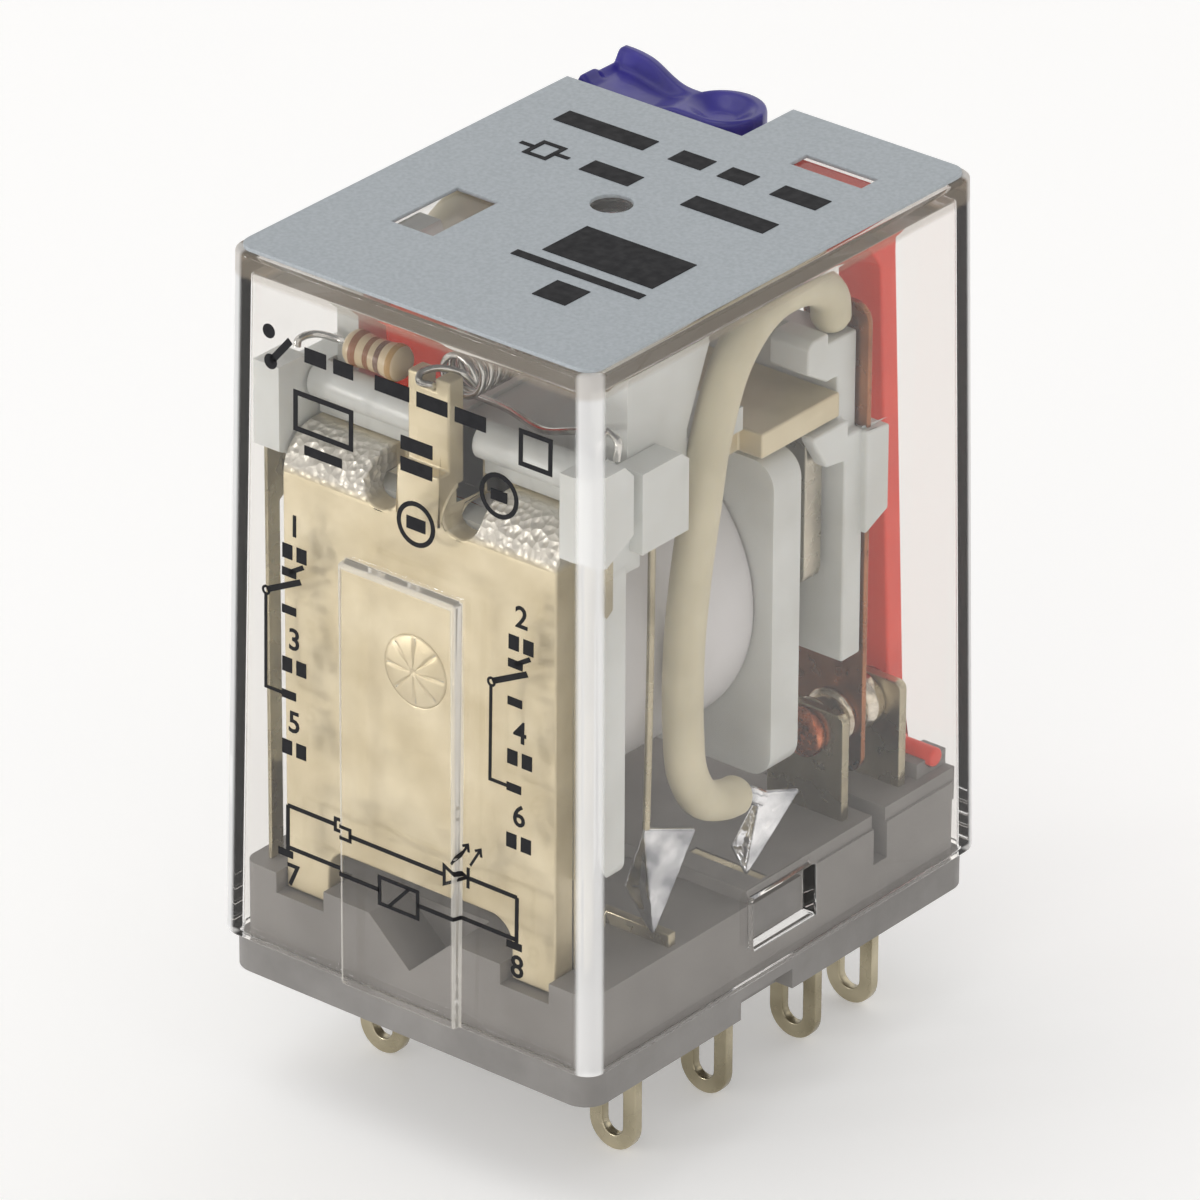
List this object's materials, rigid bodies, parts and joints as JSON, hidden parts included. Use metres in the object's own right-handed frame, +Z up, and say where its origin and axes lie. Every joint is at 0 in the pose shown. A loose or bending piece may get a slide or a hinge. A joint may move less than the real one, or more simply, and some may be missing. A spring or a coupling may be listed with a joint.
{
  "type": "industrial control relay",
  "caption": "Plug-in two-pole control relay: clear dust cover on a grey base with solder lugs, coil, yoke, hinged armature, contacts, flag and test lever.",
  "frame": {"origin": "centre of the base's flat seating face, from which the solder lugs hang down", "axes": "+Z up out of the seating face to the label, X across the two poles, -Y the coil side, +Y the contact side; the longest side of the box stands along Z"},
  "size_m": [0.0212, 0.0278, 0.041],
  "materials": {
    "grey_plastic": "satin",
    "clear_plastic": "gloss",
    "label": "fine grain",
    "zinc_steel": "yellow zinc plate",
    "white_plastic": "satin",
    "tape": "satin",
    "copper": "bare copper alloy",
    "red_plastic": "semi gloss",
    "ceramic": "lacquer",
    "blue_plastic": "semi gloss",
    "spring_steel": "drawn",
    "silver": "worn silver",
    "tinned_brass": "tin plate",
    "solder": "bright",
    "cream_sleeve": "satin"
  },
  "bodies": {
    "housing": {"base": "grey_plastic", "cover": "clear_plastic", "top_label": "label", "coil_terminal_left": "tinned_brass", "coil_terminal_right": "tinned_brass", "common_terminal_left": "tinned_brass", "common_terminal_right": "tinned_brass", "open_terminal_left": "tinned_brass", "open_terminal_right": "tinned_brass", "closed_terminal_left": "tinned_brass", "closed_terminal_right": "tinned_brass", "open_contact_left": "silver", "open_contact_right": "silver", "closed_contact_left": "silver", "closed_contact_right": "silver", "yoke": "zinc_steel", "core": "zinc_steel", "bobbin": "white_plastic", "winding": "copper", "coil_tape": "tape", "lamp_carrier": "white_plastic", "indicator_lamp": "red_plastic", "series_resistor": "ceramic", "resistor_lead": "silver", "lamp_lead": "silver", "riser_strip_left": "tinned_brass", "riser_strip_right": "tinned_brass", "coil_lead_left": "silver", "coil_lead_right": "silver", "coil_solder_left": "solder", "coil_solder_right": "solder", "common_solder_left": "solder", "common_solder_right": "solder", "flexible_lead_left": "cream_sleeve", "flexible_lead_right": "cream_sleeve", "return_spring": "spring_steel"},
    "armature_group": {"armature": "zinc_steel", "contact_carrier": "white_plastic", "moving_spring_left": "copper", "moving_spring_right": "copper", "moving_contact_left": "silver", "moving_contact_right": "silver"},
    "flag": {"indicator_flag": "red_plastic"},
    "lever": {"test_lever": "blue_plastic"}
  },
  "joints": [
    {"name": "armature_swing", "type": "hinge", "parent": "housing", "child": "armature_group", "pos_m": [0, 0.0059, 0.0252], "axis": [-1, 0, 0], "range_deg": [0, 2.15], "stiffness_Nm_per_rad": 0.005, "springref_deg": -17.19, "deforming": ["return_spring", "flexible_lead_left", "flexible_lead_right"]},
    {"name": "flag_tilt", "type": "hinge", "parent": "housing", "child": "flag", "pos_m": [0.0061, 0.0116, 0.0067], "axis": [1, 0, 0], "range_deg": [0, 0.75]},
    {"name": "lever_flip", "type": "hinge", "parent": "housing", "child": "lever", "pos_m": [-0.0087, 0.0112, 0.0332], "axis": [0, -1, 0], "range_deg": [0, 90]}
  ],
  "couplings": [
    {"joint": "flag_tilt", "follows": "armature_swing", "ratio": 0.3}
  ]
}
